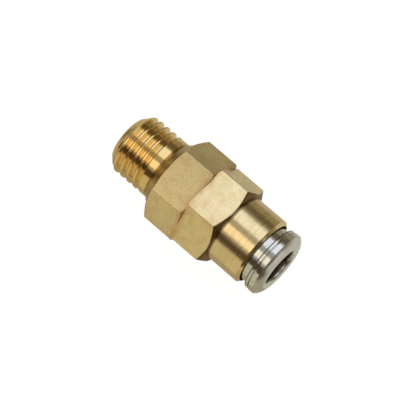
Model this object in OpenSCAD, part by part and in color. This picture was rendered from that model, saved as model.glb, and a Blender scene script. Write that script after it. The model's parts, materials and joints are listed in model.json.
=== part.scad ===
// Straight in-line flow control valve with a male thread at its inlet and a push-in tube socket
// at its outlet. Two brass bodies screw together around a strainer, a metering pin and a sprung
// check poppet. The outlet body carries the seal and the release collet that hold the tube.
// Sizes are in millimetres. The flow axis is +X, from the thread to the collar, and +Z is up with
// the valve lying on one corner of each hex. The origin is on the axis, at the seating shoulder.

/* [Inlet thread] */
// Outside diameter of the thread crests
thread_d = 10; // [9.6:0.1:10.4]
// Thread pitch
pitch = 1.25; // [1:0.05:1.3]
// Height of the rolled crests above the roots
thread_depth = 0.5; // [0.3:0.05:0.7]
// Width of the flat on each crest
crest_w = 0.45; // [0.2:0.05:0.5]
// Number of thread crests
crest_count = 6; // [4:1:6]
// Distance from the seating shoulder to the last crest
last_crest_x = 1.8; // [1.6:0.1:2]
// Length of the shank, from its end to the seating shoulder
shank_len = 9.1; // [9:0.1:9.4]
// Diameter of the small end of the cone between thread and shoulder
neck_d = 9.56; // [9.2:0.02:9.6]
// Diameter at which that cone meets the seating shoulder
cone_d = 12.1; // [11:0.1:12.2]
// Width of the 45 degree chamfer on the shank's end
end_chamfer = 1.15; // [0.6:0.05:1.3]

/* [Hexes] */
// Spanner size across the flats of both hexes
hex_af = 12.7; // [12.6:0.1:13.2]
// Diameter over the broken corners of both hexes
hex_corner_d = 14.6; // [14.5:0.05:14.75]
// Length of the inlet hex
inlet_hex_len = 5.95; // [5.7:0.05:6.4]
// Length of the outlet hex
outlet_hex_len = 5.66; // [5.3:0.02:5.7]
// Turn of each hex from a corner at the top, in opposite senses
hex_clock = 23; // [15:0.1:25]
// Slope of the corner chamfers, from the end face
chamfer_angle = 33; // [25:1:35]
// Length of the small chamfers on both hexes, at the joint
joint_chamfer = 0.15; // [0.1:0.05:0.3]

/* [Outlet sleeve] */
// Outside diameter of the sleeve
sleeve_d = 11.2; // [11.1:0.1:12]
// Length of the sleeve
sleeve_len = 5.85; // [5.8:0.05:6]
// Radius on the outer edge of the sleeve's mouth
mouth_round = 0.5; // [0.1:0.05:0.55]

/* [Tube and collet] */
// Outside diameter of the tube that the socket takes
tube_d = 6; // [5.8:0.1:6.1]
// Distance that the collar stands out of the sleeve at rest
collar_reach = 3.45; // [3.3:0.05:3.5]
// Travel of the collet when it is pushed in to release the tube
collet_stroke = 1; // [0.5:0.1:1]
// Diameter of the collar's neck
collar_neck_d = 9.5; // [9.2:0.1:9.6]
// Diameter of the thin bead behind the collar's groove
bead_d = 10.5; // [10.3:0.1:10.6]
// Diameter of the collar's flange
flange_d = 10.7; // [10.6:0.1:11]
// Number of grip fingers
finger_count = 4; // [4:2:6]

/* [Check valve] */
// Travel of the poppet from its seat to full flow
poppet_stroke = 1; // [0.4:0.1:1]
// Diameter of the spring's wire
spring_wire = 0.4; // [0.3:0.05:0.45]
// Diameter of the spring at the middle of its wire
spring_d = 3.4; // [3.2:0.1:3.6]
// Number of turns in the spring
spring_turns = 4.5; // [3.5:0.5:4.5]
// Diameter of the metering pin
pin_d = 1.44; // [1.4:0.02:1.5]

/* [Hidden] */
$fn = 96;
brass = "#c9a24a";
nickel = "#b9b8b2";
steel = "#9a9ea3";
copper = "#b5703f";
bronze = "#8c6a35";
rubber = "#222222";

// Radial gap of the pieces that are pressed or screwed together
seat_gap = 0.02;
// Radial gap of the sliding fits
slide_gap = 0.07;
// Radial gap around the tube in its socket
tube_gap = 0.05;
// Axial gap that keeps the bodies apart at the end of a stroke
stop_gap = 0.1;
// Small length by which a cut runs past the face that it opens
past = 1;
// Steps in the rounded stretches of a profile
round_steps = 8;

// Places along the axis of the outside shapes
shank_x = -shank_len;
joint_x = inlet_hex_len;
joint_seam = 0.03;
outlet_hex_x = joint_x + joint_seam;
sleeve_x = outlet_hex_x + outlet_hex_len;
mouth_x = sleeve_x + sleeve_len;
front_x = mouth_x + collar_reach;

// Length of the chamfers that run from the corners of a hex to the middle of its flats
hex_chamfer = (hex_corner_d - hex_af) / 2 * tan(chamfer_angle);

// Bores of the inlet body, from the thread end
inlet_bore_r = 2.5;
pack_floor_x = -1.7;
web_bore_r = 1.5;
poppet_floor_x = -1.2;
poppet_bore_r = 3.3;
gasket_floor_x = 2.4;
screw_r = 4.72;

// Bores of the outlet body, from its spigot
gasket_t = 0.6;
gasket_gap = 0.1;
spigot_x = gasket_floor_x + gasket_t;
spring_bore_r = 2.3;
spring_floor_x = 5.6;
lip_bore_r = 1.9;
tube_stop_x = 6.2;
socket_r = tube_d / 2 + tube_gap;
gland_x = 9.9;
gland_r = 4.6;
cavity_x = 12.1;
cavity_r = 4.8;
mouth_bore_x = 15.7;
mouth_bore_r = 5;

// Strainer and metering pieces in the inlet bore
retainer_inset = 0.4;
retainer_x = shank_x + retainer_inset;
retainer_t = 0.7;
strainer_x = retainer_x + retainer_t;
strainer_len = 2.4;
strainer_r = 2;
strainer_wall = 0.45;
bush_len = 3;
bush_x = pack_floor_x - bush_len;
metering_gap = 0.08;
bush_bore_r = pin_d / 2 + metering_gap;
pin_head_t = 0.6;
pin_head_r = 1.9;
pin_len = 2.7;
pin_slot_w = 0.8;
pin_slot_h = 0.3;

// Check valve pieces
seat_t = 0.7;
seat_lip_h = 0.4;
seat_bore_r = 1.3;
seat_lip_r = 1.75;
seat_bevel = 0.2;
seat_x = poppet_floor_x + seat_t + seat_lip_h;
disc_r = 2.2;
disc_t = 0.64;
closed_gap = 0.01;
disc_x = seat_x + closed_gap;
disc_proud = 0.1;
poppet_rim_x = disc_x + disc_proud;
poppet_r = 2.6;
disc_backing = 0.45;
poppet_back_x = disc_x + disc_t + disc_backing;
wing_end_x = spigot_x - stop_gap - poppet_stroke;
wing_w = 1.2;
wing_inner_r = 2.05;
wing_count = 4;
stem_r = 1.05;
stem_x = 3;
spring_seat_t = 0.5;
spring_seat_x = spring_floor_x - spring_seat_t;
spring_seat_bore_r = 1.1;
spring_sides = 8;
spring_steps = 16;

// Tube seal and collet pieces
seal_cord_r = 0.75;
seal_centre_r = socket_r - seat_gap + seal_cord_r;
washer_t = 0.5;
washer_gap = 0.2;
guide_x = cavity_x + washer_t;
guide_end_x = 15.6;
guide_land_r = 4;
guide_land_x = 14.9;
guide_cone_x = 13.9;
guide_wide_r = 4.55;
stem_wall_r = guide_land_r - stop_gap;
barb_r = 4.25;
barb_len = 0.5;
barb_chamfer = 0.15;
barb_slope_len = 0.6;
release_gap = 0.15;
tip_x = guide_x + collet_stroke + release_gap;
barb_end_x = tip_x + barb_len;
finger_neck_x = barb_end_x + barb_slope_len;
slot_end_x = 15.9;
slot_w = 0.6;
slot_turn = 45;
skirt_len = 0.35;
collar_skirt_x = mouth_x - skirt_len;
bead_x = mouth_x + collet_stroke + release_gap;
bead_w = 0.5;
groove_x = bead_x + bead_w;
groove_w = 0.25;
groove_r = 4.7;
flange_x = groove_x + groove_w;
flange_round = 0.6;
// Height of the flange's slightly domed front
dome_h = 0.2;
flange_edge = 0.12;
rim_round = 0.45;

// Points of an arc in a turned profile, as [radius, place along the axis]
function arc(centre_r, centre_x, r, from, to) = [
    for (i = [0:round_steps])
        let (a = from + (to - from) * i / round_steps)
        [centre_r + r * cos(a), centre_x + r * sin(a)]
];

// A solid turned about the flow axis from a profile of [radius, place along the axis]
module turned(profile) {
    rotate([0, 90, 0])
        rotate_extrude()
            polygon(profile);
}

// A plain ring about the flow axis
module ring(x, length, outer_r, inner_r) {
    turned([
        [inner_r, x], [outer_r, x], [outer_r, x + length], [inner_r, x + length]
    ]);
}

// A plain bore about the flow axis, from one place to another
module bore(from, to, r) {
    translate([from, 0, 0])
        rotate([0, 90, 0])
            cylinder(h = to - from, r = r);
}

// A hex bar about the flow axis, turned by an angle from a corner at the top
module hex_bar(x, length, clock) {
    translate([x, 0, 0])
        rotate([clock, 0, 0])
            rotate([0, 90, 0])
                cylinder(h = length, d = hex_af / cos(30), $fn = 6);
}

// A round blank that breaks the corners of a hex, with a chamfer of its own length at each end
module hex_blank(x, length, start, end) {
    corner_r = hex_corner_d / 2;
    slope = 1 / tan(chamfer_angle);
    turned([
        [0, x],
        [corner_r - start * slope, x],
        [corner_r, x + start],
        [corner_r, x + length - end],
        [corner_r - end * slope, x + length],
        [0, x + length]
    ]);
}

// A rolled thread drawn as closed crests on a chamfered shank that ends in a cone
module threaded_shank() {
    crest_r = thread_d / 2;
    root_r = crest_r - thread_depth;
    neck_r = neck_d / 2;
    flank = thread_depth * tan(30);
    first_crest_x = -last_crest_x - (crest_count - 1) * pitch;
    thread_end_x = -last_crest_x + crest_w / 2 + (crest_r - neck_r) * tan(30);
    crests = [
        for (i = [0:crest_count - 1])
            let (x = first_crest_x + i * pitch)
            each [
                [root_r, x - crest_w / 2 - flank],
                [crest_r, x - crest_w / 2],
                [crest_r, x + crest_w / 2],
                if (i < crest_count - 1) [root_r, x + crest_w / 2 + flank]
            ]
    ];
    intersection() {
        turned(concat(
            [[0, shank_x], [root_r, shank_x]],
            crests,
            [[neck_r, thread_end_x], [cone_d / 2, 0], [cone_d / 2, past], [0, past]]
        ));
        turned([
            [0, shank_x],
            [crest_r - end_chamfer, shank_x],
            [crest_r, shank_x + end_chamfer],
            [crest_r, thread_end_x],
            [hex_corner_d / 2, thread_end_x],
            [hex_corner_d / 2, past],
            [0, past]
        ]);
    }
}

module inlet_body() {
    color(brass)
        difference() {
            union() {
                threaded_shank();
                intersection() {
                    hex_bar(0, inlet_hex_len, -hex_clock);
                    hex_blank(0, inlet_hex_len, hex_chamfer, joint_chamfer);
                }
            }
            bore(shank_x - past, pack_floor_x, inlet_bore_r);
            bore(pack_floor_x - past, poppet_floor_x + past, web_bore_r);
            bore(poppet_floor_x, gasket_floor_x + past, poppet_bore_r);
            bore(gasket_floor_x, joint_x + past, screw_r);
        }
}

module outlet_body() {
    sleeve_r = sleeve_d / 2;
    mouth_edge = arc(sleeve_r - mouth_round, mouth_x - mouth_round, mouth_round, 0, 90);
    color(brass)
        difference() {
            union() {
                bore(spigot_x, outlet_hex_x + past, screw_r - seat_gap);
                intersection() {
                    hex_bar(outlet_hex_x, outlet_hex_len, hex_clock);
                    hex_blank(outlet_hex_x, outlet_hex_len, joint_chamfer, hex_chamfer);
                }
                turned(concat(
                    [[0, sleeve_x - past], [sleeve_r, sleeve_x - past]],
                    mouth_edge,
                    [[0, mouth_x]]
                ));
            }
            bore(spigot_x - past, spring_floor_x, spring_bore_r);
            bore(spring_floor_x - past, tube_stop_x + past, lip_bore_r);
            bore(tube_stop_x, gland_x + past, socket_r);
            bore(gland_x, cavity_x + past, gland_r);
            bore(cavity_x, mouth_bore_x + past, cavity_r);
            bore(mouth_bore_x, mouth_x + past, mouth_bore_r);
        }
}

module body_gasket() {
    color(copper)
        ring(gasket_floor_x, gasket_t, screw_r - gasket_gap, poppet_bore_r + gasket_gap);
}

module strainer_retainer() {
    color(steel)
        ring(retainer_x, retainer_t, inlet_bore_r - seat_gap, strainer_r - strainer_wall);
}

module inlet_strainer() {
    flange_t = 0.4;
    flange_r = inlet_bore_r - seat_gap;
    inner_r = strainer_r - strainer_wall;
    end_x = strainer_x + strainer_len;
    color(bronze)
        turned([
            [inner_r, strainer_x],
            [flange_r, strainer_x],
            [flange_r, strainer_x + flange_t],
            [strainer_r, strainer_x + flange_t],
            [strainer_r, end_x],
            [0, end_x],
            [0, end_x - strainer_wall],
            [inner_r, end_x - strainer_wall]
        ]);
}

module metering_bush() {
    color(brass)
        ring(bush_x, bush_len, inlet_bore_r - seat_gap, bush_bore_r);
}

// The head's crossed slots let the fluid reach the gap around the shank
module metering_pin() {
    color(steel)
        difference() {
            union() {
                bore(bush_x - pin_head_t, bush_x, pin_head_r);
                bore(bush_x - past / 2, bush_x + pin_len, pin_d / 2);
            }
            difference() {
                for (turn = [0, 90])
                    rotate([turn, 0, 0])
                        translate([bush_x - pin_slot_h, -pin_slot_w / 2, -pin_head_r - past])
                            cube([pin_slot_h + past, pin_slot_w, 2 * (pin_head_r + past)]);
                bore(bush_x - past, bush_x + pin_len + past, pin_d / 2);
            }
        }
}

module seat_bush() {
    base_end_x = poppet_floor_x + seat_t;
    color(steel)
        turned([
            [seat_bore_r, poppet_floor_x],
            [poppet_bore_r - seat_gap, poppet_floor_x],
            [poppet_bore_r - seat_gap, base_end_x],
            [seat_lip_r + seat_bevel, base_end_x],
            [seat_lip_r, seat_x],
            [seat_bore_r + seat_bevel, seat_x],
            [seat_bore_r, seat_x - seat_bevel]
        ]);
}

// Four wings guide the poppet in the inlet body's bore and leave the flow path between them
module poppet() {
    wing_outer_r = poppet_bore_r - slide_gap;
    color(brass)
        difference() {
            union() {
                bore(poppet_rim_x, poppet_back_x, poppet_r);
                bore(poppet_back_x - past / 2, stem_x, stem_r);
                intersection() {
                    ring(poppet_rim_x, wing_end_x - poppet_rim_x, wing_outer_r, wing_inner_r);
                    for (i = [0:wing_count - 1])
                        rotate([i * 360 / wing_count, 0, 0])
                            translate([poppet_rim_x, -wing_w / 2, 0])
                                cube([wing_end_x - poppet_rim_x, wing_w, poppet_bore_r]);
                }
            }
            bore(poppet_rim_x - past, disc_x + disc_t, disc_r + seat_gap);
        }
}

module poppet_seal() {
    color(rubber)
        bore(disc_x, disc_x + disc_t, disc_r);
}

// Points of the spring's middle line, from the poppet to the spring seat
spring_from = poppet_back_x + spring_wire / 2;
spring_to = spring_seat_x - spring_wire / 2;
spring_rings = spring_turns * spring_steps;
function spring_point(i) =
    let (a = 360 * spring_turns * i / spring_rings)
    [
        spring_from + (spring_to - spring_from) * i / spring_rings,
        spring_d / 2 * cos(a),
        spring_d / 2 * sin(a)
    ];
spring_gap = min([
    for (i = [0:spring_rings - spring_steps])
        norm(spring_point(i + spring_steps) - spring_point(i)) - spring_wire
]);
echo(spring_gap = spring_gap);

module poppet_spring() {
    lead = (spring_to - spring_from) / (spring_turns * PI * spring_d);
    rise = atan(lead);
    points = [
        for (i = [0:spring_rings])
            let (a = 360 * spring_turns * i / spring_rings)
            for (k = [0:spring_sides - 1])
                let (b = 360 * k / spring_sides)
                spring_point(i)
                + spring_wire / 2 * cos(b) * [0, cos(a), sin(a)]
                + spring_wire / 2 * sin(b) * [cos(rise), sin(rise) * sin(a), -sin(rise) * cos(a)]
    ];
    sides = [
        for (i = [0:spring_rings - 1], k = [0:spring_sides - 1])
            let (
                near = i * spring_sides,
                far = near + spring_sides,
                next = (k + 1) % spring_sides
            )
            each [[near + k, near + next, far + next], [near + k, far + next, far + k]]
    ];
    last = spring_rings * spring_sides;
    caps = [
        [for (k = [spring_sides - 1:-1:0]) k],
        [for (k = [0:spring_sides - 1]) last + k]
    ];
    color(steel)
        polyhedron(points, concat(sides, caps));
}

module spring_seat() {
    color(steel)
        ring(spring_seat_x, spring_seat_t, spring_bore_r - seat_gap, spring_seat_bore_r);
}

module tube_seal() {
    color(rubber)
        translate([(gland_x + cavity_x) / 2, 0, 0])
            rotate([0, 90, 0])
                rotate_extrude()
                    translate([seal_centre_r, 0])
                        circle(r = seal_cord_r);
}

module seal_washer() {
    color(brass)
        ring(cavity_x, washer_t, cavity_r - seat_gap, socket_r + washer_gap);
}

// The cone squeezes the fingers onto the tube when the tube is pulled
module collet_guide() {
    outer_r = cavity_r - seat_gap;
    color(steel)
        turned([
            [guide_wide_r, guide_x],
            [outer_r, guide_x],
            [outer_r, guide_end_x],
            [guide_land_r, guide_end_x],
            [guide_land_r, guide_land_x],
            [guide_wide_r, guide_cone_x]
        ]);
}

// A slotted tube with barbed fingers inside and the double collar outside
module release_collet() {
    neck_r = collar_neck_d / 2;
    bead_r = bead_d / 2;
    flange_r = flange_d / 2;
    color(nickel)
        difference() {
            turned(concat(
                [
                    [socket_r, tip_x],
                    [barb_r - barb_chamfer, tip_x],
                    [barb_r, tip_x + barb_chamfer],
                    [barb_r, barb_end_x],
                    [stem_wall_r, finger_neck_x],
                    [stem_wall_r, collar_skirt_x],
                    [neck_r, collar_skirt_x],
                    [neck_r, bead_x]
                ],
                arc(bead_r - bead_w / 2, bead_x + bead_w / 2, bead_w / 2, -90, 90),
                [[groove_r, groove_x], [groove_r, flange_x]],
                arc(flange_r - flange_edge, flange_x + flange_edge, flange_edge, -90, 0),
                arc(flange_r - flange_round, front_x - dome_h - flange_round, flange_round, 0, 90),
                arc(socket_r + rim_round, front_x - rim_round, rim_round, 90, 180)
            ));
            for (i = [0:finger_count / 2 - 1])
                rotate([slot_turn + i * 360 / finger_count, 0, 0])
                    translate([tip_x - past, -cavity_r, -slot_w / 2])
                        cube([slot_end_x - tip_x + past, 2 * cavity_r, slot_w]);
        }
}

inlet_body();
outlet_body();
body_gasket();
strainer_retainer();
inlet_strainer();
metering_bush();
metering_pin();
seat_bush();
poppet();
poppet_seal();
poppet_spring();
spring_seat();
tube_seal();
seal_washer();
collet_guide();
release_collet();
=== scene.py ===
"""Models and finishes a straight flow control valve that lies on its two hexes.

The flow axis is X, from the male thread to the push-in collar, and sizes are in metres. The two brass
bodies, the release collet and the check spring are modelled here in place of their plain solids. The
other pieces keep their solids and get a finish.
"""
import itertools
import json
import math

import bmesh
import bpy
from bpy.props import FloatProperty, FloatVectorProperty, IntProperty, PointerProperty
from bpy.types import Operator, Panel, PropertyGroup
from mathutils import Matrix, Vector


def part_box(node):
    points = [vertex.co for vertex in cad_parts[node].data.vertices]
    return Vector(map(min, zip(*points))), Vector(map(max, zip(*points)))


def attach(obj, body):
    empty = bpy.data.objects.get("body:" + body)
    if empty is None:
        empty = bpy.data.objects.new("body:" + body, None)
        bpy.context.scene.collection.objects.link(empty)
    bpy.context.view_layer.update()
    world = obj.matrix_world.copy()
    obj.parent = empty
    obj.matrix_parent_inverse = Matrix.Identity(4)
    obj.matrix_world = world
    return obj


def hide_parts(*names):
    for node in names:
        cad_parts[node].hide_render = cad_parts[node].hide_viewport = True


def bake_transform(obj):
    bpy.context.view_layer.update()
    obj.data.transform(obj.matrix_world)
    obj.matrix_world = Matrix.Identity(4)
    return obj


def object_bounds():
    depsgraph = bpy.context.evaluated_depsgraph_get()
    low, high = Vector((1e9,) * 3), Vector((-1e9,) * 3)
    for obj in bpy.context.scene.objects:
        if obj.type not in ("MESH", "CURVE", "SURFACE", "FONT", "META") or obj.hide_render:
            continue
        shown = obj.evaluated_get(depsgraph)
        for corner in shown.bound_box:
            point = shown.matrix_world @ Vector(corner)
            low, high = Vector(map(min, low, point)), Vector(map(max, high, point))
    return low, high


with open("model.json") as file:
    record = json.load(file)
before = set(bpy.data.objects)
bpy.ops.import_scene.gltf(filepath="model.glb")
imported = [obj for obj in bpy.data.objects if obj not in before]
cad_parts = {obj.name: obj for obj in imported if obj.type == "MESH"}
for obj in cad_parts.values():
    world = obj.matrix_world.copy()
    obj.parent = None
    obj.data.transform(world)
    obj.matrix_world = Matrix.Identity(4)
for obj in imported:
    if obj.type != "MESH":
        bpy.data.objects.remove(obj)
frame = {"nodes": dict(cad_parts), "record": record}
CAD_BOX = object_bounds()

bl_info = {
    "name": "Flow Control Valve",
    "version": (1, 0, 0),
    "blender": (4, 5, 0),
    "location": "View3D > Sidebar > Valve",
    "description": "Builds a threaded brass flow control valve with a push-in tube collar",
    "category": "Add Mesh",
}

MM = 0.001
FULL_TURN = 2 * math.pi
HEX_SIDES = 6
# Steps of a turned surface around the axis: a multiple of twelve puts a step on every hex corner
TURN_STEPS = 192
# Steps of a rounded stretch in a turned profile
ARC_STEPS = 8
# Rows of the thread for each pitch along the axis
ROWS_PER_PITCH = 28
# Length under which two points are one
MERGE = 0.0002 * MM
# Radial gap of the pressed pieces
PRESS_GAP = 0.02 * MM
# Distance within which a face lies on a place along the axis
ON_PLACE = 0.01 * MM
# Margin inside the shank's end circle, which parts the thread from the bores
BORE_MARGIN = 0.1 * MM
# Share of a normal along the axis from which a face is square to the axis
SQUARE = 0.98
# Share of a normal along the axis from which a face belongs to the outlet hex's end
LEANING = 0.4
# Smallest fold of the edges that tumbling wears
WORN_FOLD = math.radians(18)
# Share of the flats' distance from the axis past which an edge is on the outside
OUTSIDE = 0.97
# Faces that meet at a smaller angle than this are shaded as one surface
SMOOTH_ANGLE = math.radians(32)
# Distance of the lamps, and their lean along the axis as a share of it
LAMP_DISTANCE = 250 * MM
LAMP_LEAN = -0.24
# Length of the studio cards along the valve
CARD_LENGTH = 160 * MM
# Gap between the floor and the lowest mat, and between one mat and the next
MAT_GAP = 0.05 * MM
# Width of the table
TABLE_WIDTH = 4000 * MM
# Width of the camera's sensor in millimetres
SENSOR_WIDTH = 36


class Reach:
    """Where a turned node of the frame lies: its ends along the axis and its outer radius."""

    def __init__(self, node):
        low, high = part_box(node)
        self.start = low.x
        self.end = high.x
        self.radius = high.z


def mount_radius(name):
    """The radius that the record gives for a round mount."""
    return next(m["dims"]["r_mm"] * MM for m in frame["record"]["mounts"] if m["name"] == name)


def length(name, description, default):
    """A length that a user may change, with its default in millimetres."""
    return FloatProperty(
        name=name, description=description, default=default * MM, min=0, precision=5, unit="LENGTH"
    )


def angle(name, description, default):
    """An angle that a user may change, with its default in degrees."""
    return FloatProperty(name=name, description=description, default=math.radians(default), unit="ROTATION")


def colour(name, description, default):
    """A colour that a user may change, with its default as linear red, green and blue."""
    return FloatVectorProperty(
        name=name, description=description, default=default, min=0, max=1, size=3, subtype="COLOR"
    )


def amount(name, description, default):
    """A plain number that a user may change."""
    return FloatProperty(name=name, description=description, default=default, min=0, subtype="FACTOR")


class ThreadSizes(PropertyGroup):
    """Sizes of the rolled male thread and the cone behind it."""

    pitch: length("Pitch", "Distance from crest to crest along the axis", 1.25)
    depth: length("Depth", "Height of the crests above the roots", 0.55)
    first_crest: length("First crest", "Distance of the first crest at +Y from the shank's end", 1.04)
    crest_width: length("Crest width", "Width of the rounded top of a crest", 0.17)
    root_width: length("Root width", "Width of the rounded bottom of the groove", 0.15)
    end_radius: length("End radius", "Radius of the shank's flat end inside its chamfer", 3.68)
    run_out: length("Run-out", "Length over which the groove fades into the last land", 0.6)
    land: length("Land", "Length of the plain land after the groove", 1)
    land_drop: length("Land drop", "Depth of that land below the crests", 0.04)
    neck_edge: length("Neck edge", "Length of the slope from the land to the cone", 0.15)
    neck_radius: length("Neck radius", "Radius of the cone's small end behind the thread", 4.78)
    cone_radius: length("Cone radius", "Radius at which the cone meets the shoulder", 6.05)
    cone_length: length("Cone length", "Length of the cone", 1.45)


class HexSizes(PropertyGroup):
    """Sizes of the two hexes."""

    across_flats: length("Across flats", "Spanner size of both hexes", 12.7)
    blank_radius: length("Blank radius", "Radius of the turned blank, past the hex corners", 7.4)
    edge_break: length("Edge break", "Width of the break along the edges of the flats", 0.1)
    clock: angle("Clock angle", "Turn of each hex from a corner at the top, in opposite senses", 23)
    chamfer: angle("Chamfer angle", "Slope of the corner chamfers from the end face", 33)
    seat_chamfer: angle("Seat chamfer angle", "Slope of the flatter chamfers at the seating shoulder", 23)
    chamfer_circle: length("Chamfer circle", "Radius at which the outer chamfers start", 6.3)
    joint_circle: length("Joint circle", "Radius at which the small chamfers at the joint start", 7.07)
    outlet_length: length("Outlet hex length", "Length of the outlet hex", 5.66)
    seam: length("Seam", "Gap between the two hexes at their joint", 0.03)


class BoreSizes(PropertyGroup):
    """Sizes of the bores that no other piece gives."""

    web_radius: length("Web radius", "Radius of the passage between the metering pin and the seat", 1.5)
    screw_gap: length("Screw gap", "Radial gap around the joint's gasket", 0.1)
    lip_radius: length("Lip radius", "Radius of the passage behind the tube's stop", 1.9)
    tube_stop: length("Tube stop", "Distance of the tube's stop behind the spring seat", 0.6)
    gland_start: length("Gland start", "Distance from the tube's stop to the seal's gland", 3.7)
    gland_radius: length("Gland radius", "Radius of the seal's gland", 4.6)
    sleeve_radius: length("Sleeve radius", "Outer radius of the sleeve", 5.6)
    mouth_radius: length("Mouth radius", "Radius of the opening around the collet", 5.1)
    mouth_depth: length("Mouth depth", "Depth of that opening", 1.79)
    mouth_chamfer: length("Mouth chamfer", "Width of the chamfer on the sleeve's mouth", 0.42)


class ColletSizes(PropertyGroup):
    """Sizes of the release collet and its double collar."""

    neck_radius: length("Neck radius", "Radius of the collar's neck", 4.75)
    stem_radius: length("Stem radius", "Outer radius of the slotted tube", 3.9)
    barb_radius: length("Barb radius", "Outer radius of the finger tips", 4.25)
    barb_length: length("Barb length", "Length of the finger tips", 0.5)
    barb_slope: length("Barb slope", "Length of the slope behind the finger tips", 0.6)
    barb_edge: length("Barb edge", "Chamfer on the finger tips", 0.15)
    skirt: length("Skirt", "Distance from the collar's front to the back of its neck", 3.8)
    slot_width: length("Slot width", "Width of the slots between the fingers", 0.6)
    slot_length: length("Slot length", "Length of the slots between the fingers", 2.15)
    bead_place: length("Bead place", "Distance from the collar's front to the back of the bead", 2.41)
    bead_width: length("Bead width", "Width of the thin bead", 0.59)
    bead_back: length("Bead back", "Rounding on the back edge of the bead", 0.22)
    bead_radius: length("Bead radius", "Outer radius of the thin bead", 5.28)
    groove_width: length("Groove width", "Width of the groove in front of the bead", 0.17)
    groove_radius: length("Groove radius", "Radius at the bottom of the groove", 4.7)
    flange_edge: length("Flange edge", "Rounding on the facing edges of the bead and the flange", 0.1)
    dome: length("Dome", "Height of the flange's domed front", 0.88)
    rim_round: length("Rim round", "Rounding where the tube goes in", 0.6)


class SpringSizes(PropertyGroup):
    """Sizes of the check valve's spring."""

    wire: length("Wire", "Diameter of the wire", 0.4)
    turns: FloatProperty(name="Turns", description="Number of turns", default=4.5, min=1)
    wire_sides: IntProperty(name="Wire sides", description="Sides of the wire's section", default=14, min=6)
    turn_steps: IntProperty(name="Turn steps", description="Steps of each turn", default=40, min=12)


class Colours(PropertyGroup):
    """Colours of the finishes and of the stage."""

    polished_brass: colour("Polished brass", "Rolled and polished thread", (0.88, 0.66, 0.29))
    satin_brass: colour("Satin brass", "Milled and tumbled hexes", (0.90, 0.735, 0.41))
    turned_brass: colour("Turned brass", "Turned sleeve", (0.94, 0.74, 0.43))
    olive_stain: colour("Olive stain", "Dull patches on the hexes", (0.52, 0.43, 0.20))
    # Warm tint: real blush in patches on the hexes and by the joint, and painted reflection towards the
    # roots of the thread's grooves
    copper_blush_and_reflection: colour("Copper blush", "Warm tint of the grooves, hexes and joint", (0.66, 0.36, 0.17))
    # Painted shade in corners and bores (the cone by the shoulder, the end chamfer, the sleeve's root, the
    # hex's end face and the bores), and real oxide bloom on the copper gasket
    brown_shade_and_bloom: colour("Brown stain", "Dark tint in corners and bores", (0.20, 0.11, 0.04))
    nickel: colour("Nickel", "Bright plating of the collet", (0.74, 0.73, 0.69))
    # Painted shade down the collar's hole, darker deeper in
    bore_shade: colour("Bore shade", "Dull plating inside the collar's hole", (0.20, 0.18, 0.16))
    nickel_shade: colour("Nickel shade", "Duller patches of the plating", (0.60, 0.58, 0.53))
    # Painted shade and dark reflection on the back rounding of the collar's bead
    bead_shade: colour("Shade", "Dark line behind the collar's bead", (0.12, 0.12, 0.11))
    steel: colour("Steel", "Bright stainless pieces", (0.60, 0.60, 0.60))
    steel_shade: colour("Steel shade", "Duller streaks on the stainless pieces", (0.42, 0.42, 0.43))
    copper: colour("Copper", "Joint gasket", (0.72, 0.40, 0.25))
    bronze: colour("Bronze", "Sintered strainer", (0.46, 0.32, 0.15))
    bronze_pore: colour("Bronze pore", "Pores of the strainer", (0.12, 0.08, 0.04))
    rubber: colour("Rubber", "Seals", (0.02, 0.02, 0.02))
    rubber_dust: colour("Rubber dust", "Dusty patches on the seals", (0.06, 0.06, 0.06))
    floor: colour("Floor", "Pale table under the valve", (0.9, 0.9, 0.9))
    sky: colour("Sky", "Surroundings beyond the lamps and cards", (0.40, 0.38, 0.33))
    key_light: colour("Key light", "Lamp overhead", (0.64, 0.72, 0.88))
    fill_light: colour("Fill light", "Lamp on the near side", (0.80, 0.71, 0.55))
    dark_card: colour("Dark card", "Cards that draw dark bands along the metal", (0.08, 0.052, 0.027))
    dim_card: colour("Dim card", "Card that draws a softer dark band on the far side", (0.14, 0.115, 0.07))
    near_card: colour("Near card", "Warm card and mat on the near side", (0.60, 0.555, 0.40))
    end_card: colour("End card", "Pale mat in front of the collar", (0.60, 0.585, 0.50))
    contact_card: colour("Contact card", "Shaded mat under the valve", (0.42, 0.37, 0.26))
    far_card: colour("Far card", "Warm mat and low card on the far side", (0.30, 0.26, 0.17))
    mid_card: colour("Mid card", "Paler mat beside the valve on the far side", (0.48, 0.46, 0.38))


class StageSettings(PropertyGroup):
    """The camera, the lamps and the table."""

    azimuth: angle("Azimuth", "Turn of the camera around the valve", 57.47)
    elevation: angle("Elevation", "Height of the camera above the table", 73.33)
    roll: angle("Roll", "Turn of the camera about its own axis", -15.64)
    distance: length("Distance", "Distance from the camera to its aim", 300)
    aim: FloatVectorProperty(
        name="Aim", description="Point that the camera looks at", unit="LENGTH",
        default=(4.866 * MM, 0.098 * MM, -1.213 * MM),
    )
    lens: FloatProperty(name="Lens", description="Focal length in millimetres", default=184, min=10)
    key_turn: angle("Key turn", "Turn of the overhead lamp from the top towards +Y", 31.5)
    key_spread: angle("Key spread", "Half of the angle that this lamp fills across the valve", 19)
    fill_turn: angle("Fill turn", "Turn of the near lamp from the top towards +Y", -20.5)
    fill_spread: angle("Fill spread", "Half of the angle that this lamp fills across the valve", 13)
    glow_share: amount("Glow share", "Share of the floor that is plain white to the camera", 0.75)
    glow: amount("Glow", "Brightness of that share", 1.22)


class ValveSettings(PropertyGroup):
    """All the sizes, colours and stage settings of the valve."""

    thread: PointerProperty(type=ThreadSizes)
    hexes: PointerProperty(type=HexSizes)
    bores: PointerProperty(type=BoreSizes)
    collet: PointerProperty(type=ColletSizes)
    spring: PointerProperty(type=SpringSizes)
    colours: PointerProperty(type=Colours)
    stage: PointerProperty(type=StageSettings)


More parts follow.
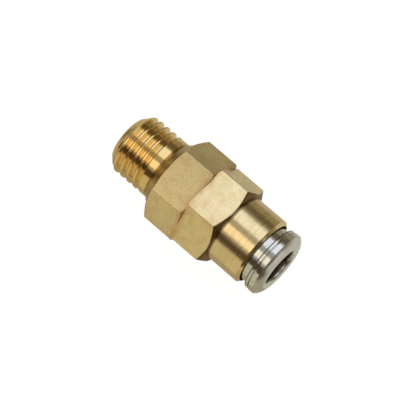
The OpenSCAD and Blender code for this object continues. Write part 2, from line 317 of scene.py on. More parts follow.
def arc(centre_x, centre_r, radius, start, end):
    """Points of a round stretch of a profile, by degrees from the flow axis towards a larger radius."""
    turns = [math.radians(start + (end - start) * i / ARC_STEPS) for i in range(ARC_STEPS + 1)]
    return [(centre_x + radius * math.cos(t), centre_r + radius * math.sin(t)) for t in turns]


def deselect_all():
    """Clears the selection, which the frame leaves on its nodes."""
    bpy.ops.object.select_all(action="DESELECT")


def close_seams():
    """Merges the double points of the piece being edited and turns any faces outwards."""
    bpy.ops.mesh.select_all(action="SELECT")
    bpy.ops.mesh.remove_doubles(threshold=MERGE)
    bpy.ops.mesh.normals_make_consistent(inside=False)


def turn_piece(name, points):
    """Starts a piece: spins a closed profile, given by places along the axis and radii, about the axis."""
    deselect_all()
    x, r = points[0]
    bpy.ops.mesh.primitive_plane_add(size=MM, location=(x, 0, r))
    piece = bpy.context.object
    piece.name = name
    piece.data.name = name
    bpy.ops.object.transform_apply()
    bpy.ops.object.mode_set(mode="EDIT")
    bpy.ops.mesh.select_mode(type="VERT")
    bpy.ops.mesh.select_all(action="SELECT")
    bpy.ops.mesh.merge(type="CENTER")
    for near, far in zip(points, points[1:] + points[:1]):
        step = (far[0] - near[0], 0, far[1] - near[1])
        bpy.ops.mesh.extrude_vertices_move(TRANSFORM_OT_translate={"value": step})
    close_seams()
    bpy.ops.mesh.select_all(action="SELECT")
    bpy.ops.mesh.spin(steps=TURN_STEPS, angle=FULL_TURN, center=(0, 0, 0), axis=(1, 0, 0))
    close_seams()
    return piece


def mill_flats(across):
    """Cuts six flats from the solid being edited, the first of them on top."""
    for side in range(HEX_SIDES):
        turn = FULL_TURN * side / HEX_SIDES
        facing = Vector((0, math.sin(turn), math.cos(turn)))
        bpy.ops.mesh.select_all(action="SELECT")
        bpy.ops.mesh.bisect(
            plane_co=facing * across / 2, plane_no=facing, use_fill=True, clear_outer=True, threshold=MERGE
        )


def select_edges(piece, wanted):
    """Selects the edges of the piece being edited that pass a test of middle and fold."""
    bpy.ops.mesh.select_all(action="DESELECT")
    bpy.ops.mesh.select_mode(type="EDGE")
    mesh = bmesh.from_edit_mesh(piece.data)
    for edge in mesh.edges:
        middle = (edge.verts[0].co + edge.verts[1].co) / 2
        edge.select_set(wanted(middle, edge.calc_face_angle(0)))
    mesh.select_flush_mode()
    bmesh.update_edit_mesh(piece.data)


def off_axis(point):
    """Distance of a point from the flow axis."""
    return math.hypot(point.y, point.z)


def chamfer_lengths(sizes, slope):
    """Lengths along the axis of a hex's outer chamfer, of some slope, and of the small one at the joint."""
    outer = (sizes.blank_radius - sizes.chamfer_circle) * math.tan(slope)
    joint = (sizes.blank_radius - sizes.joint_circle) * math.tan(sizes.chamfer)
    return outer, joint


def break_hex_edges(piece, sizes, joint_x):
    """Rounds the edges of the flats a little, as tumbling does, but for the sharp ones at the joint."""
    outside = sizes.across_flats / 2 * OUTSIDE
    clear = sizes.blank_radius - sizes.joint_circle

    def worn(middle, fold):
        return fold > WORN_FOLD and off_axis(middle) > outside and abs(middle.x - joint_x) > clear

    select_edges(piece, worn)
    bpy.ops.mesh.bevel(offset=sizes.edge_break, segments=2, profile=0.5, clamp_overlap=False)


def close_piece(piece, turn=0):
    """Leaves edit mode, turns the piece about the flow axis and shades it."""
    close_seams()
    bpy.ops.object.mode_set(mode="OBJECT")
    piece.rotation_euler = (turn, 0, 0)
    bpy.ops.object.transform_apply()
    bpy.ops.object.shade_smooth_by_angle(angle=SMOOTH_ANGLE)


def turn_hex_body(name, profile, hexes, joint_x, turn):
    """Turns a body from its profile, mills its flats, breaks their edges and sets it at its angle."""
    piece = turn_piece(name, profile)
    mill_flats(hexes.across_flats)
    break_hex_edges(piece, hexes, joint_x)
    close_piece(piece, turn)
    return piece


def apply_modifier(piece, modifier):
    """Applies one modifier of a piece."""
    bpy.context.view_layer.objects.active = piece
    bpy.ops.object.modifier_apply(modifier=modifier.name)


def shade_flats(piece):
    """Weights the normals by face area, so that the flats shade as planes between their broken edges."""
    even = piece.modifiers.new("even", "WEIGHTED_NORMAL")
    even.keep_sharp = True
    apply_modifier(piece, even)


def smooth_step(low, high, value):
    """Goes from 0 at low to 1 at high."""
    share = min(max((value - low) / (high - low), 0), 1)
    return share * share * (3 - 2 * share)


def roll_thread(piece, sizes, crest_radius, shank_end):
    """Moves the rows of a plain shank in and out along a right-hand helix, as rolling dies do."""
    root_radius = crest_radius - sizes.depth
    thread_end = -sizes.cone_length
    land_start = thread_end - sizes.land
    land_radius = crest_radius - sizes.land_drop
    first_crest = shank_end + sizes.first_crest
    inside = sizes.end_radius - BORE_MARGIN
    for vertex in piece.data.vertices:
        x, y, z = vertex.co
        radius = math.hypot(y, z)
        if x > thread_end or radius < inside:
            continue
        turn = math.atan2(z, y) / FULL_TURN
        place = ((x - first_crest) / sizes.pitch - turn) % 1
        past_crest = min(place, 1 - place) * sizes.pitch
        swell = smooth_step((sizes.pitch - sizes.root_width) / 2, sizes.crest_width / 2, past_crest)
        rolled = root_radius + sizes.depth * swell
        kept = smooth_step(land_start, land_start - sizes.run_out, x)
        rolled = land_radius + (rolled - land_radius) * kept
        necked = smooth_step(thread_end - sizes.neck_edge, thread_end, x)
        rolled += (sizes.neck_radius - rolled) * necked
        rolled = min(rolled, sizes.end_radius + x - shank_end)
        vertex.co = (x, y / radius * rolled, z / radius * rolled)


def give_finishes(piece, finishes, choose):
    """Gives each face of a piece one of several finishes, chosen by its centre and normal."""
    for finish in finishes:
        piece.data.materials.append(finish)
    for face in piece.data.polygons:
        face.material_index = choose(face.center, face.normal)


class Socket:
    """An output of a shader node. Arithmetic on it adds Math nodes."""

    def __init__(self, nodes, socket):
        self.nodes = nodes
        self.socket = socket

    def math(self, operation, *values):
        """A Math node of this output and other values."""
        inputs = dict(enumerate((self, *values)))
        return self.nodes.add("ShaderNodeMath", {"operation": operation}, inputs)

    def __add__(self, other):
        return self.math("ADD", other)

    def __sub__(self, other):
        return self.math("SUBTRACT", other)

    def __rsub__(self, other):
        return self.nodes.add("ShaderNodeMath", {"operation": "SUBTRACT"}, {0: other, 1: self})

    def __mul__(self, other):
        return self.math("MULTIPLY", other)

    __radd__ = __add__
    __rmul__ = __mul__


class Nodes:
    """The node tree of a material or of the surroundings."""

    def __init__(self, tree):
        self.tree = tree

    def add(self, kind, settings=None, inputs=None, output=0):
        """Adds a node, sets it up, feeds its sockets and gives one of its outputs."""
        node = self.tree.nodes.new(kind)
        for key, value in (settings or {}).items():
            setattr(node, key, value)
        for key, value in (inputs or {}).items():
            self.feed(node.inputs[key], value)
        return Socket(self, node.outputs[output])

    def feed(self, target, value):
        """Links a socket to an output, or sets its value, with full alpha for a colour."""
        if isinstance(value, Socket):
            self.tree.links.new(value.socket, target)
        elif target.type == "RGBA":
            target.default_value = (*value, 1.0)
        else:
            target.default_value = value

    def ramp(self, value, low, high):
        """Goes smoothly from 0 to 1 as a value goes from low to high."""
        settings = {"interpolation_type": "SMOOTHSTEP"}
        return self.add("ShaderNodeMapRange", settings, {"Value": value, "From Min": low, "From Max": high})

    def mix(self, share, first, second):
        """Goes from the first colour to the second as a share goes from 0 to 1."""
        return self.add("ShaderNodeMix", {"data_type": "RGBA"}, {0: share, 6: first, 7: second}, output=2)


class Surface(Nodes):
    """A material and its shader."""

    def __init__(self, name):
        self.material = bpy.data.materials.new(name)
        self.material.use_nodes = True
        super().__init__(self.material.node_tree)
        self.shader = self.tree.nodes["Principled BSDF"]

    def set(self, **inputs):
        """Feeds the shader's sockets, named with underscores for spaces, and gives the material."""
        for key, value in inputs.items():
            self.feed(self.shader.inputs[key.replace("_", " ")], value)
        return self.material


class Finish(Surface):
    """A surface with the places that its patterns use, in millimetres on object coordinates."""

    def __init__(self, name):
        super().__init__(name)
        spot = self.add("ShaderNodeTexCoord", output="Object")
        self.place = self.add("ShaderNodeVectorMath", {"operation": "SCALE"}, {0: spot, "Scale": 1 / MM})
        self.x = self.add("ShaderNodeSeparateXYZ", None, {0: self.place}, output="X")
        across = self.add("ShaderNodeVectorMath", {"operation": "MULTIPLY"}, {0: self.place, 1: (0, 1, 1)})
        self.radius = self.add("ShaderNodeVectorMath", {"operation": "LENGTH"}, {0: across}, output="Value")

    def noise(self, scale, detail, roughness=0.5):
        """Soft noise of a scale given per millimetre."""
        inputs = {"Vector": self.place, "Scale": scale, "Detail": detail, "Roughness": roughness}
        return self.add("ShaderNodeTexNoise", None, inputs)

    def lines(self, scale, detail):
        """Noise that changes only along and away from the axis, as the lines of a turning tool do."""
        inputs = {"W": self.x + self.radius, "Scale": scale, "Detail": detail}
        return self.add("ShaderNodeTexNoise", {"noise_dimensions": "1D"}, inputs)

    def complete(self, tone, roughness, height, depth, metallic=1.0):
        """Gives the material its colour, roughness and relief, of heights from 0 to 1 and a depth in mm."""
        relief = {"Height": height, "Distance": depth * MM, "Strength": 1.0}
        normal = self.add("ShaderNodeBump", None, relief)
        return self.set(Base_Color=tone, Metallic=metallic, Roughness=roughness, Normal=normal)


def polished_brass(colours, shank_end, cone_length):
    """Bright rolled brass, with a warm painted reflection in the grooves, painted shade in brown on the cone
    beside the shoulder, partly dirt, and a little painted shade on the end chamfer.
    """
    finish = Finish("polished_brass")
    clouds = finish.noise(0.8, 3)
    crest = mount_radius("male_thread") / MM
    # Painted reflection: warmer towards the roots of the grooves, over warm clouds
    deep = finish.ramp(finish.radius, crest - 0.2, crest - 0.6)
    tone = finish.mix(deep * 0.2 + clouds * 0.15, colours.polished_brass, colours.copper_blush_and_reflection)
    cone = -cone_length / MM
    # Painted shade in brown on the cone beside the shoulder, partly dirt
    on_cone = finish.ramp(finish.x, cone - 0.2, cone + 0.2)
    tone = finish.mix(on_cone * (0.4 + clouds * 0.4), tone, colours.brown_shade_and_bloom)
    end = shank_end / MM
    # A little painted shade on the end chamfer
    on_end = finish.ramp(finish.x, end + 1.4, end + 0.9)
    tone = finish.mix(on_end * (0.1 + clouds * 0.3), tone, colours.brown_shade_and_bloom)
    return finish.complete(tone, 0.08 + clouds * 0.10 + on_cone * 0.12, clouds, 0.02)


def satin_brass(colours, name, darkening):
    """Milled hex faces, tumbled to a fine grain, stained in patches and warm beside the joint."""
    finish = Finish(name)
    joint_x = Reach("inlet_body").end / MM
    patches = finish.ramp(finish.noise(0.7, 5, 0.65), 0.4, 0.75)
    specks = finish.ramp(finish.noise(4.5, 3), 0.5, 0.75)
    grain = finish.noise(12, 3, 0.65)
    stains = patches * 0.3 + specks * 0.2 + darkening
    tone = finish.mix(stains, colours.satin_brass, colours.olive_stain)
    warm = finish.ramp(finish.noise(0.5, 5, 0.7), 0.42, 0.72)
    tone = finish.mix(warm * 0.38, tone, colours.copper_blush_and_reflection)
    by_joint = finish.ramp((finish.x - joint_x).math("ABSOLUTE"), 0.9, 0.15)
    tone = finish.mix(by_joint * (0.4 + patches * 0.4), tone, colours.copper_blush_and_reflection)
    return finish.complete(tone, 0.16 + grain * 0.14 + patches * 0.06, grain + specks * 0.5, 0.012)


def turned_brass(colours, root_x):
    """A turned sleeve with the fine feed lines of the tool, and painted shade at the sleeve's root beside
    the hex.
    """
    finish = Finish("turned_brass")
    clouds = finish.ramp(finish.noise(0.45, 3), 0.35, 0.75)
    coarse = finish.lines(3.4, 1)
    fine = finish.lines(17, 2)
    root = root_x / MM
    # Painted shade in brown at the sleeve's root, in the corner by the hex
    at_root = finish.ramp(finish.x, root + 0.5, root)
    streaks = finish.ramp(coarse, 0.3, 0.7)
    tone = finish.mix(clouds * 0.2 + streaks * 0.3, colours.turned_brass, colours.olive_stain)
    tone = finish.mix(at_root * 0.7, tone, colours.brown_shade_and_bloom)
    return finish.complete(tone, 0.12 + fine * 0.10 + clouds * 0.05, coarse + fine * 0.6, 0.03)


def bored_brass(colours, name="bored_brass", darkening=0.25):
    """Bores, hidden faces and the outlet hex's end face, browner than the outside with painted shade, and
    with coarser tool lines.
    """
    finish = Finish(name)
    clouds = finish.noise(0.9, 3)
    lines = finish.lines(6, 2)
    # Painted shade: browner by the darkening share and in clouds
    tone = finish.mix(darkening + clouds * 0.5, colours.turned_brass, colours.brown_shade_and_bloom)
    return finish.complete(tone, 0.3 + lines * 0.15, lines, 0.015)


def bright_nickel(colours, front):
    """Plated collar, bright with faint turning lines and a few duller clouds, with painted shade down its
    bore.
    """
    finish = Finish("bright_nickel")
    clouds = finish.ramp(finish.noise(0.9, 4), 0.4, 0.75)
    lines = finish.lines(12, 2)
    tone = finish.mix(clouds * 0.6, colours.nickel, colours.nickel_shade)
    bore, lip = mount_radius("tube_socket") / MM, front / MM
    # Painted shade down the hole, growing deeper in
    in_bore = finish.ramp(finish.radius, bore + 0.17, bore + 0.01)
    deep = finish.ramp(finish.x, lip - 0.6, lip - 1.3)
    tone = finish.mix(in_bore * (0.3 + deep * 0.7), tone, colours.bore_shade)
    return finish.complete(tone, 0.10 + clouds * 0.06 + lines * 0.05 + in_bore * 0.08, lines, 0.003)


def satin_nickel(colours):
    """Front face of the collar, rubbed to a satin by handling."""
    finish = Finish("satin_nickel")
    clouds = finish.ramp(finish.noise(1.3, 4), 0.35, 0.75)
    rubs = finish.noise(9, 3, 0.6)
    tone = finish.mix(clouds * 0.7, colours.nickel, colours.nickel_shade)
    return finish.complete(tone, 0.24 + rubs * 0.14, rubs, 0.006)


def bead_shade_nickel(colours):
    """A thin line of painted shade and dark reflection on the back of the collar's bead."""
    finish = Finish("bead_shade_nickel")
    clouds = finish.noise(1.6, 3)
    tone = finish.mix(clouds * 0.4, colours.bead_shade, colours.nickel_shade)
    return finish.complete(tone, 0.25 + clouds * 0.2, clouds, 0.004)


def turned_steel(colours):
    """Bright stainless steel with turning lines."""
    finish = Finish("turned_steel")
    streaks = finish.lines(8, 3)
    clouds = finish.noise(1.2, 3)
    tone = finish.mix(streaks * 0.5 + clouds * 0.3, colours.steel, colours.steel_shade)
    return finish.complete(tone, 0.2 + streaks * 0.15, streaks, 0.006)


def drawn_wire(colours):
    """Drawn spring wire with fine scratches."""
    finish = Finish("drawn_wire")
    scratches = finish.noise(14, 3, 0.7)
    tone = finish.mix(scratches, colours.steel, colours.steel_shade)
    return finish.complete(tone, 0.18 + scratches * 0.2, scratches, 0.004)


def annealed_copper(colours):
    """Soft copper with a mottled oxide bloom."""
    finish = Finish("annealed_copper")
    bloom = finish.ramp(finish.noise(1.4, 4, 0.6), 0.35, 0.7)
    tone = finish.mix(bloom * 0.6, colours.copper, colours.brown_shade_and_bloom)
    return finish.complete(tone, 0.3 + bloom * 0.2, bloom, 0.01)


def sintered_bronze(colours):
    """Small bronze balls pressed together, with dark pores between them."""
    finish = Finish("sintered_bronze")
    balls = {"Vector": finish.place, "Scale": 5.5}
    cells = finish.add("ShaderNodeTexVoronoi", None, balls, output="Distance")
    pores = finish.ramp(cells, 0.35, 0.75)
    tone = finish.mix(pores, colours.bronze, colours.bronze_pore)
    return finish.complete(tone, 0.42 + pores * 0.3, 1 - cells, 0.05)


def moulded_rubber(colours):
    """Black seal rubber with dusty patches and a fine moulded grain."""
    finish = Finish("moulded_rubber")
    dust = finish.ramp(finish.noise(1.1, 4), 0.45, 0.75)
    grain = finish.noise(16, 2)
    tone = finish.mix(dust, colours.rubber, colours.rubber_dust)
    return finish.complete(tone, 0.55 + dust * 0.2, grain, 0.01, metallic=0.0)


class VALVE_OT_inlet_body(Operator):
    """Model the threaded body with its cone and hex"""

    bl_idname = "valve.inlet_body"
    bl_label = "Inlet Body"

    def execute(self, context):
        valve = context.scene.valve
        reach = Reach("inlet_body")
        piece = self.model(valve, reach)
        colours = valve.colours
        finishes = [
            polished_brass(colours, reach.start, valve.thread.cone_length),
            satin_brass(colours, "inlet_satin_brass", darkening=0.15),
            bored_brass(colours),
        ]
        on_thread, on_hex, in_bore = range(len(finishes))
        bore = valve.thread.end_radius - BORE_MARGIN

        def choose(centre, normal):
            joint_face = normal.x > SQUARE and centre.x > reach.end - ON_PLACE
            if joint_face or off_axis(centre) < bore:
                return in_bore
            return on_thread if centre.x < -ON_PLACE else on_hex

        give_finishes(piece, finishes, choose)
        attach(piece, "valve_body")
        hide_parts("inlet_body")
        return {"FINISHED"}

    def model(self, valve, reach):
        """Turns the blank, mills the flats and rolls the thread."""
        thread, hexes, bores = valve.thread, valve.hexes, valve.bores
        bush, seat, gasket = Reach("metering_bush"), Reach("seat_bush"), Reach("body_gasket")
        inlet_radius = bush.radius + PRESS_GAP
        poppet_radius = seat.radius + PRESS_GAP
        screw_radius = gasket.radius + bores.screw_gap
        row = thread.pitch / ROWS_PER_PITCH
        rows = math.floor((-thread.cone_length - reach.start) / row)
        shank = [(reach.start + row * i, thread.neck_radius) for i in range(1, rows + 1)]
        chamfer, joint_chamfer = chamfer_lengths(hexes, hexes.seat_chamfer)
        profile = [
            (reach.start, inlet_radius),
            (reach.start, thread.end_radius),
            *shank,
            (-thread.cone_length, thread.neck_radius),
            (0, thread.cone_radius),
            (0, hexes.chamfer_circle),
            (chamfer, hexes.blank_radius),
            (reach.end - joint_chamfer, hexes.blank_radius),
            (reach.end, hexes.joint_circle),
            (reach.end, screw_radius),
            (gasket.start, screw_radius),
            (gasket.start, poppet_radius),
            (seat.start, poppet_radius),
            (seat.start, bores.web_radius),
            (bush.end, bores.web_radius),
            (bush.end, inlet_radius),
        ]
        turn = math.pi / HEX_SIDES - hexes.clock
        piece = turn_hex_body("threaded_body", profile, hexes, reach.end, turn)
        roll_thread(piece, thread, mount_radius("male_thread"), reach.start)
        shade_flats(piece)
        return piece


class VALVE_OT_outlet_body(Operator):
    """Model the body with the second hex and the sleeve"""

    bl_idname = "valve.outlet_body"
    bl_label = "Outlet Body"

    def execute(self, context):
        valve = context.scene.valve
        hexes, bores = valve.hexes, valve.bores
        hex_start = Reach("inlet_body").end + hexes.seam
        sleeve_start = hex_start + hexes.outlet_length
        piece = self.model(valve, hex_start, sleeve_start)
        colours = valve.colours
        finishes = [
            satin_brass(colours, "outlet_satin_brass", darkening=0.0),
            turned_brass(colours, sleeve_start),
            bored_brass(colours),
            # Painted shade on the hex's end face beside the sleeve
            bored_brass(colours, "shaded_shoulder_brass", darkening=0.8),
        ]
        on_hex, on_sleeve, in_bore, on_shoulder = range(len(finishes))
        bore = bores.mouth_radius + ON_PLACE

        def choose(centre, normal):
            if centre.x < hex_start + ON_PLACE or off_axis(centre) < bore:
                return in_bore
            # The hex's end face beside the sleeve gets that painted shade
            if normal.x > LEANING and centre.x < sleeve_start + ON_PLACE:
                return on_shoulder
            return on_sleeve if centre.x > sleeve_start - ON_PLACE else on_hex

        give_finishes(piece, finishes, choose)
        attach(piece, "valve_body")
        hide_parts("outlet_body")
        return {"FINISHED"}

    def model(self, valve, hex_start, sleeve_start):
        """Turns the blank with its bores and mills the flats."""
        hexes, bores = valve.hexes, valve.bores
        reach = Reach("outlet_body")
        gasket, spring_seat, washer = Reach("body_gasket"), Reach("spring_seat"), Reach("seal_washer")
        spigot_radius = gasket.radius + bores.screw_gap - PRESS_GAP
        spring_radius = spring_seat.radius + PRESS_GAP
        cavity_radius = washer.radius + PRESS_GAP
        socket_radius = mount_radius("tube_socket")
        stop = spring_seat.end + bores.tube_stop
        gland = stop + bores.gland_start
        mouth = reach.end - bores.mouth_depth
        chamfer, joint_chamfer = chamfer_lengths(hexes, hexes.chamfer)
        profile = [
            (gasket.end, spring_radius),
            (gasket.end, spigot_radius),
            (hex_start, spigot_radius),
            (hex_start, hexes.joint_circle),
            (hex_start + joint_chamfer, hexes.blank_radius),
            (sleeve_start - chamfer, hexes.blank_radius),
            (sleeve_start, hexes.chamfer_circle),
            (sleeve_start, bores.sleeve_radius),
            (reach.end - bores.mouth_chamfer, bores.sleeve_radius),
            (reach.end, bores.sleeve_radius - bores.mouth_chamfer),
            (reach.end, bores.mouth_radius),
            (mouth, bores.mouth_radius),
            (mouth, cavity_radius),
            (washer.start, cavity_radius),
            (washer.start, bores.gland_radius),
            (gland, bores.gland_radius),
            (gland, socket_radius),
            (stop, socket_radius),
            (stop, bores.lip_radius),
            (spring_seat.end, bores.lip_radius),
            (spring_seat.end, spring_radius),
        ]
        turn = hexes.clock - math.pi / HEX_SIDES
        piece = turn_hex_body("sleeve_body", profile, hexes, hex_start, turn)
        shade_flats(piece)
        return piece


class VALVE_OT_release_collet(Operator):
    """Model the slotted collet with its double collar"""

    bl_idname = "valve.release_collet"
    bl_label = "Release Collet"

    def execute(self, context):
        valve = context.scene.valve
        sizes, colours = valve.collet, valve.colours
        piece = self.model(sizes)
        self.cut_slots(piece, sizes)
        deselect_all()
        piece.select_set(True)
        bpy.ops.object.shade_smooth_by_angle(angle=SMOOTH_ANGLE)
        front = Reach("release_collet").end
        finishes = [bright_nickel(colours, front), satin_nickel(colours), bead_shade_nickel(colours)]
        bright, satin, shaded_back = range(len(finishes))
        dome_x = front - sizes.dome
        lip_radius = mount_radius("tube_socket") + sizes.rim_round / 2
        bead_x = front - sizes.bead_place

        def choose(centre, normal):
            radius = off_axis(centre)
            if centre.x > dome_x:
                return satin if radius > lip_radius else bright
            # The back rounding of the bead gets the painted shade
            on_back = bead_x < centre.x < bead_x + sizes.bead_back and normal.x > -SQUARE
            return shaded_back if on_back and radius > sizes.neck_radius else bright

        give_finishes(piece, finishes, choose)
        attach(piece, "collet")
        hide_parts("release_collet")
        return {"FINISHED"}

    def model(self, sizes):
        """Turns the collet from its finger tips to its rounded front."""
        reach = Reach("release_collet")
        bore = mount_radius("tube_socket")
        tip, front, flange = reach.start, reach.end - MERGE, reach.radius
        barb_end = tip + sizes.barb_length
        skirt = front - sizes.skirt
        bead_x = front - sizes.bead_place
        groove = bead_x + sizes.bead_width
        flange_x = groove + sizes.groove_width
        back, edge, rim, dome = sizes.bead_back, sizes.flange_edge, sizes.rim_round, sizes.dome
        spread = flange - bore - rim
        dome_radius = (dome ** 2 + spread ** 2) / (2 * dome)
        dome_edge = math.degrees(math.asin(spread / dome_radius))
        profile = [
            (tip, bore),
            (tip, sizes.barb_radius - sizes.barb_edge),
            (tip + sizes.barb_edge, sizes.barb_radius),
            (barb_end, sizes.barb_radius),
            (barb_end + sizes.barb_slope, sizes.stem_radius),
            (skirt, sizes.stem_radius),
            (skirt, sizes.neck_radius),
            (bead_x, sizes.neck_radius),
            *arc(bead_x + back, sizes.bead_radius - back, back, 180, 90),
            *arc(groove - edge, sizes.bead_radius - edge, edge, 90, 0),
            (groove, sizes.groove_radius),
            (flange_x, sizes.groove_radius),
            *arc(flange_x + edge, flange - edge, edge, 180, 90),
            *arc(front - dome_radius, bore + rim, dome_radius, dome_edge, 0),
            *arc(front - rim, bore + rim, rim, 0, -90),
        ]
        piece = turn_piece("collar_collet", profile)
        close_piece(piece)
        return piece

    def cut_slots(self, piece, sizes):
        """Cuts two crossed slots that leave four fingers."""
        tip = Reach("release_collet").start
        width = 4 * sizes.barb_radius
        for turn in (math.pi / 4, -math.pi / 4):
            deselect_all()
            bpy.ops.mesh.primitive_cube_add(
                size=1, location=(tip, 0, 0), rotation=(turn, 0, 0),
                scale=(2 * sizes.slot_length, width, sizes.slot_width),
            )
            cutter = bpy.context.object
            cut = piece.modifiers.new("slot", "BOOLEAN")
            cut.operation = "DIFFERENCE"
            cut.solver = "EXACT"
            cut.object = cutter
            apply_modifier(piece, cut)
            bpy.data.objects.remove(cutter)


class VALVE_OT_poppet_spring(Operator):
    """Wind the check valve's spring between the poppet and its seat"""

    bl_idname = "valve.poppet_spring"
    bl_label = "Poppet Spring"

    def execute(self, context):
        valve = context.scene.valve
        sizes = valve.spring
        reach = Reach("poppet_spring")
        start = reach.start + sizes.wire / 2
        end = reach.end - sizes.wire / 2
        deselect_all()
        bpy.ops.mesh.primitive_circle_add(
            vertices=sizes.wire_sides, radius=sizes.wire / 2,
            location=(start, reach.radius - sizes.wire / 2, 0),
        )
        piece = bpy.context.object
        piece.name = "wound_spring"
        bpy.ops.object.transform_apply()
        wind = piece.modifiers.new("wind", "SCREW")
        wind.axis = "X"
        wind.angle = FULL_TURN * sizes.turns
        wind.screw_offset = end - start
        wind.steps = round(sizes.turn_steps * sizes.turns)
        wind.render_steps = wind.steps
        apply_modifier(piece, wind)
        bpy.ops.object.mode_set(mode="EDIT")
        bpy.ops.mesh.select_all(action="SELECT")
        bpy.ops.mesh.fill_holes(sides=sizes.wire_sides)
        close_piece(piece)
        piece.data.materials.append(drawn_wire(valve.colours))
        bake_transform(piece)
        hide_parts("poppet_spring")
        return {"FINISHED"}


def finish_nodes(nodes, material):
    """Gives a finish to pieces that keep their solids."""
    for node in nodes:
        slots = frame["nodes"][node].data.materials
        slots.clear()
        slots.append(material)


class VALVE_OT_steel_pieces(Operator):
    """Finish the stainless pieces inside the valve"""

    bl_idname = "valve.steel_pieces"
    bl_label = "Steel Pieces"

    def execute(self, context):
        nodes = ("strainer_retainer", "metering_pin", "seat_bush", "spring_seat", "collet_guide")
        finish_nodes(nodes, turned_steel(context.scene.valve.colours))
        return {"FINISHED"}


class VALVE_OT_brass_pieces(Operator):
    """Finish the small brass pieces, the gasket and the strainer inside the valve"""

    bl_idname = "valve.brass_pieces"
    bl_label = "Brass, Copper and Bronze Pieces"

    def execute(self, context):
        colours = context.scene.valve.colours
        finish_nodes(("metering_bush", "poppet", "seal_washer"), bored_brass(colours))
        finish_nodes(("body_gasket",), annealed_copper(colours))
        finish_nodes(("inlet_strainer",), sintered_bronze(colours))
        return {"FINISHED"}


class VALVE_OT_rubber_seals(Operator):
    """Finish the rubber seals inside the valve"""

    bl_idname = "valve.rubber_seals"
    bl_label = "Rubber Seals"

    def execute(self, context):
        finish_nodes(("poppet_seal", "tube_seal"), moulded_rubber(context.scene.valve.colours))
        return {"FINISHED"}


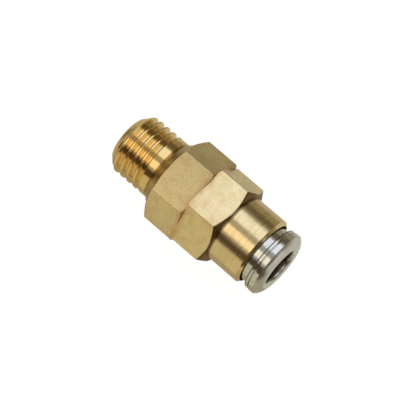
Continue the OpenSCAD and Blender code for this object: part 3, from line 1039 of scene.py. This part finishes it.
class VALVE_OT_stage(Operator):
    """Set up the table, the lamps, the cards and the camera"""

    bl_idname = "valve.stage"
    bl_label = "Stage"

    def execute(self, context):
        valve = context.scene.valve
        floor_z = CAD_BOX[0].z
        context.scene.view_settings.view_transform = "Standard"
        self.add_floor(valve, floor_z)
        self.add_sky(context.scene, valve.colours)
        self.add_lamp("key_lamp", valve.stage.key_turn, valve.stage.key_spread, valve.colours.key_light)
        self.add_lamp("fill_lamp", valve.stage.fill_turn, valve.stage.fill_spread, valve.colours.fill_light)
        self.add_cards(valve.colours, floor_z)
        self.add_camera(context.scene, valve.stage)
        return {"FINISHED"}

    def add_floor(self, valve, floor_z):
        """A pale table that is partly plain white, so that the valve's shadow stays soft."""
        deselect_all()
        bpy.ops.mesh.primitive_plane_add(size=TABLE_WIDTH, location=(0, 0, floor_z))
        floor = bpy.context.object
        floor.name = "floor"
        table = Surface("pale_table")
        table.set(Base_Color=valve.colours.floor, Roughness=0.9, Specular_IOR_Level=0.0)
        rays = [
            table.add("ShaderNodeLightPath", output=ray)
            for ray in ("Is Camera Ray", "Is Glossy Ray", "Is Transmission Ray")
        ]
        share = rays[0].math("MAXIMUM", rays[1]).math("MAXIMUM", rays[2]) * valve.stage.glow_share
        lit = Socket(table, table.shader.outputs[0])
        glow = table.add("ShaderNodeEmission", None, {"Strength": valve.stage.glow})
        mixed = table.add("ShaderNodeMixShader", None, {0: share, 1: lit, 2: glow})
        table.feed(table.tree.nodes["Material Output"].inputs["Surface"], mixed)
        floor.data.materials.append(table.material)

    def add_sky(self, scene, colours):
        """Warm, even surroundings."""
        world = bpy.data.worlds.new("studio")
        world.use_nodes = True
        sky = Nodes(world.node_tree)
        sky.feed(sky.tree.nodes["Background"].inputs["Color"], colours.sky)
        scene.world = world

    def add_lamp(self, name, turn, spread, light):
        """A soft lamp that faces the valve, by its turn from the top towards +Y and its half spread."""
        deselect_all()
        far = LAMP_DISTANCE
        place = Vector((LAMP_LEAN * far, math.sin(turn) * far, math.cos(turn) * far))
        bpy.ops.object.light_add(type="AREA", location=place)
        lamp = bpy.context.object
        lamp.name = name
        lamp.rotation_mode = "QUATERNION"
        away = place.normalized()
        across = away.cross(Vector((1, 0, 0))).normalized()
        lamp.rotation_quaternion = Matrix((across.cross(away), across, away)).transposed().to_quaternion()
        lamp.data.shape = "RECTANGLE"
        lamp.data.size = 2 * far
        lamp.data.size_y = 2 * far * math.tan(spread)
        lamp.data.color = light
        lamp.data.energy = math.pi * lamp.data.size * lamp.data.size_y
        lamp.visible_camera = False

    def add_card(self, name, light, x, y, z):
        """A flat card that only reflections show, between two places along each axis."""
        corners = sorted(set(itertools.product(x, y, z)))
        mesh = bpy.data.meshes.new(name)
        mesh.from_pydata(corners, [], [(0, 1, 3, 2)])
        card = bpy.data.objects.new(name, mesh)
        bpy.context.scene.collection.objects.link(card)
        paper = Surface(name)
        paper.set(Base_Color=(0, 0, 0), Specular_IOR_Level=0.0, Emission_Color=light, Emission_Strength=1.0)
        card.data.materials.append(paper.material)
        card.visible_camera = False
        card.visible_diffuse = False
        card.visible_shadow = False

    def add_cards(self, colours, floor_z):
        """Cards and mats that draw the dark and warm bands of a studio picture along the metal."""
        mat, contact, ahead = (floor_z + MAT_GAP * layer for layer in (1, 2, 3))
        along = (-CARD_LENGTH / 2, CARD_LENGTH / 2)
        far, near, start, end = 30 * MM, -60 * MM, -40 * MM, 40 * MM
        edge, mid, beyond = 12 * MM, 24 * MM, 150 * MM
        far_low_top, far_top = 6 * MM, 22 * MM
        near_top, near_dark_top = 24 * MM, 66 * MM
        start_top, end_low_top, end_top = 10 * MM, 7 * MM, 16 * MM
        beside_hexes, under_hexes = (-14 * MM, 50 * MM), (-15 * MM, 0)
        past_collar, beside_collar = (21 * MM, 80 * MM), (-3 * MM, 60 * MM)
        across_end, across_end_low = (-30 * MM, 6 * MM), (-40 * MM, -8 * MM)
        cards = (
            ("far_card", colours.dim_card, along, (far, far), (far_low_top, far_top)),
            ("far_low_card", colours.far_card, along, (far, far), (mat, far_low_top)),
            ("far_mat", colours.far_card, along, (mid, beyond), (mat, mat)),
            ("mid_mat", colours.mid_card, along, (edge, mid), (mat, mat)),
            ("near_mat", colours.near_card, along, (near, edge), (mat, mat)),
            ("contact_mat", colours.contact_card, beside_hexes, under_hexes, (contact, contact)),
            ("near_card", colours.near_card, along, (near, near), (mat, near_top)),
            ("near_dark_card", colours.dark_card, along, (near, near), (near_top, near_dark_top)),
            ("start_card", colours.far_card, (start, start), along, (mat, start_top)),
            ("end_card", colours.dark_card, (end, end), across_end, (end_low_top, end_top)),
            ("end_low_card", colours.dark_card, (end, end), across_end_low, (mat, end_low_top)),
            ("end_mat", colours.end_card, past_collar, beside_collar, (ahead, ahead)),
        )
        for name, light, x, y, z in cards:
            self.add_card(name, light, x, y, z)

    def add_camera(self, scene, stage):
        """A camera that looks down on the valve along its photographed view."""
        deselect_all()
        bpy.ops.object.camera_add()
        camera = bpy.context.object
        level = math.cos(stage.elevation)
        back = Vector((
            math.sin(stage.azimuth) * level, -math.cos(stage.azimuth) * level, math.sin(stage.elevation)
        ))
        camera.rotation_mode = "QUATERNION"
        upright = (-back).to_track_quat("-Z", "Y")
        camera.rotation_quaternion = upright @ Matrix.Rotation(stage.roll, 3, "Z").to_quaternion()
        camera.location = Vector(stage.aim) + back * stage.distance
        camera.data.lens = stage.lens
        camera.data.sensor_width = SENSOR_WIDTH
        camera.data.clip_start = 10 * MM
        scene.camera = camera


class VALVE_PT_build(Panel):
    """Lists the valve's settings and the steps that build it"""

    bl_idname = "VALVE_PT_build"
    bl_label = "Flow Control Valve"
    bl_space_type = "VIEW_3D"
    bl_region_type = "UI"
    bl_category = "Valve"

    def draw(self, context):
        valve = context.scene.valve
        for title in ("thread", "hexes", "bores", "collet", "spring", "colours", "stage"):
            box = self.layout.box()
            box.label(text=title.capitalize())
            group = getattr(valve, title)
            for key in group.__annotations__:
                box.prop(group, key)
        for step in STEPS:
            self.layout.operator(step.bl_idname)


GROUPS = (
    ThreadSizes, HexSizes, BoreSizes, ColletSizes, SpringSizes, Colours, StageSettings, ValveSettings
)
STEPS = (
    VALVE_OT_stage,
    VALVE_OT_inlet_body,
    VALVE_OT_outlet_body,
    VALVE_OT_release_collet,
    VALVE_OT_poppet_spring,
    VALVE_OT_steel_pieces,
    VALVE_OT_brass_pieces,
    VALVE_OT_rubber_seals,
)


def register():
    for made in (*GROUPS, *STEPS, VALVE_PT_build):
        bpy.utils.register_class(made)
    bpy.types.Scene.valve = PointerProperty(type=ValveSettings)


def unregister():
    del bpy.types.Scene.valve
    for made in reversed((*GROUPS, *STEPS, VALVE_PT_build)):
        bpy.utils.unregister_class(made)


def main():
    """Builds the valve step by step."""
    register()
    bpy.ops.valve.stage()
    bpy.ops.valve.inlet_body()
    bpy.ops.valve.outlet_body()
    bpy.ops.valve.release_collet()
    bpy.ops.valve.poppet_spring()
    bpy.ops.valve.steel_pieces()
    bpy.ops.valve.brass_pieces()
    bpy.ops.valve.rubber_seals()


if __name__ == "__main__":
    main()
